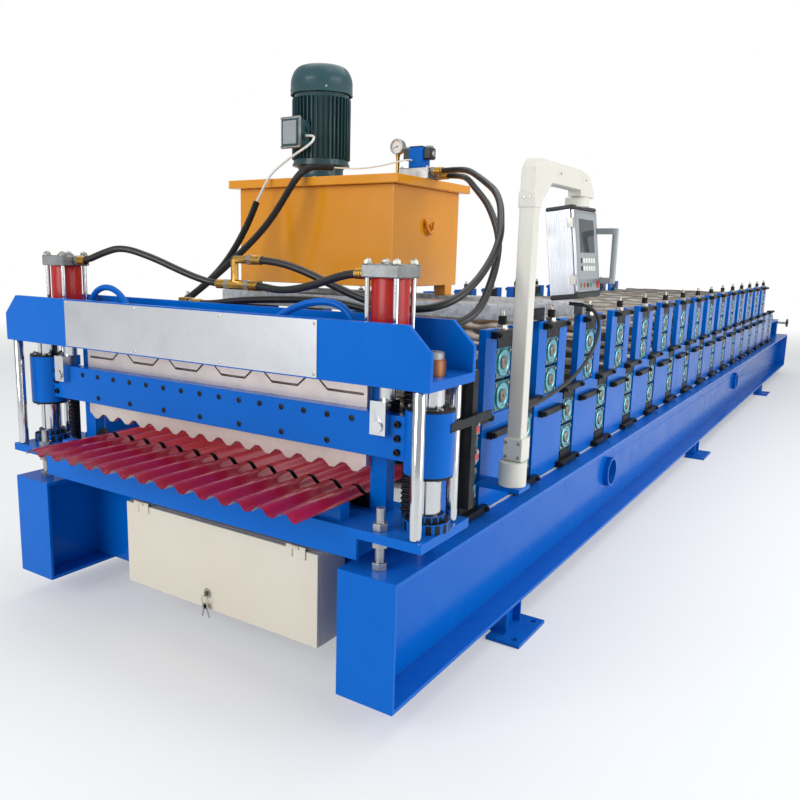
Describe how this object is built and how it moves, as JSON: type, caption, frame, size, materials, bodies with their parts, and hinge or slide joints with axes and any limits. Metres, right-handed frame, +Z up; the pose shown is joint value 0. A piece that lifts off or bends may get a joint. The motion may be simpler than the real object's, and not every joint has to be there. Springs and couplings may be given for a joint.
{
  "type": "double-layer roll forming machine with a hydraulic cut-off shear",
  "caption": "Long roll forming line on two base beams, with slotted side walls, a hydraulic cut-off shear at the exit, an oil tank with a pump motor and a console on a swing arm.",
  "frame": {"origin": "middle of the four anchor holes of the front feet, on the floor", "axes": "+Y along the machine from the shear at the exit to the entry, +X to the operator's side, +Z up"},
  "size_m": [1.7771, 8.593, 1.984],
  "materials": {
    "blue_paint": "gloss paint",
    "red_paint": "gloss paint",
    "orange_paint": "gloss paint",
    "green_paint": "gloss paint",
    "beige_paint": "powder coat",
    "black_steel": "blackened",
    "roll_steel": "hard chromed",
    "ground_steel": "ground and chromed",
    "blade_steel": "ground",
    "block_steel": "machined",
    "stud_steel": "turned",
    "galvanised": "galvanised",
    "red_sheet": "coil coated",
    "black_plastic": "moulded",
    "hose_rubber": "smooth hose cover",
    "dial": "dial behind glass"
  },
  "bodies": {
    "machine": {"left_base_beam": "blue_paint", "right_base_beam": "blue_paint", "cross_members": "blue_paint", "support_feet": "blue_paint", "left_wall_plates": "blue_paint", "right_wall_plates": "blue_paint", "left_bearing_blocks": "block_steel", "right_bearing_blocks": "block_steel", "clamp_bars": "black_steel", "lower_layer_rolls": "roll_steel", "upper_layer_rolls": "roll_steel", "shear_table": "blue_paint", "levelling_studs": "stud_steel", "guide_columns": "ground_steel", "corner_rods": "ground_steel", "crossbeam": "blue_paint", "cylinder_barrels": "red_paint", "cylinder_heads": "red_paint", "lower_die": "blade_steel", "upper_die": "blade_steel", "die_posts": "blue_paint", "guide_racks": "black_steel", "profiled_panel": "red_sheet", "switch_rail": "black_steel", "limit_switches": "black_plastic", "cabinet_shell": "beige_paint", "oil_tank": "orange_paint", "tank_lid": "orange_paint", "tank_channels": "galvanised", "motor_body": "green_paint", "fan_cowl": "green_paint", "terminal_box": "green_paint", "valve_manifold": "stud_steel", "directional_valve": "black_steel", "pressure_gauge": "dial", "arm_bracket": "blue_paint", "arm_base": "beige_paint", "entry_table": "blue_paint", "guide_rollers": "roll_steel", "entry_handwheel": "black_plastic", "left_cap_hose": "hose_rubber", "right_cap_hose": "hose_rubber", "return_hose": "hose_rubber", "supply_hose": "hose_rubber", "motor_conduit": "black_plastic", "valve_conduit": "black_plastic", "foot_pipes": "blue_paint", "hose_fittings": "stud_steel"},
    "shear_beam": {"moving_beam": "blue_paint", "guide_sleeves": "blue_paint", "upper_blade": "blade_steel", "lower_blade": "blade_steel", "rod_lugs": "ground_steel", "switch_flag": "black_steel"},
    "door": {"cabinet_door": "beige_paint"},
    "arm": {"swing_arm": "beige_paint", "console_lead": "black_plastic"},
    "console": {"console_coupling": "beige_paint", "console_box": "beige_paint", "console_handle": "black_plastic"}
  },
  "joints": [
    {"name": "blade_slide", "type": "slide", "parent": "machine", "child": "shear_beam", "axis": [0, 0, 1], "range_m": [-0.07, 0.045]},
    {"name": "cabinet_door", "type": "hinge", "parent": "machine", "child": "door", "pos_m": [0, -0.683, 0.4165], "axis": [-1, 0, 0], "range_deg": [0, 80]},
    {"name": "arm_swing", "type": "hinge", "parent": "machine", "child": "arm", "pos_m": [0.812, -0.147, 0.619], "axis": [0, 0, 1], "range_deg": [-90, 15]},
    {"name": "console_swivel", "type": "hinge", "parent": "arm", "child": "console", "pos_m": [0.8, 0.303, 1.41], "axis": [0, 0, 1], "range_deg": [-60, 60]}
  ]
}
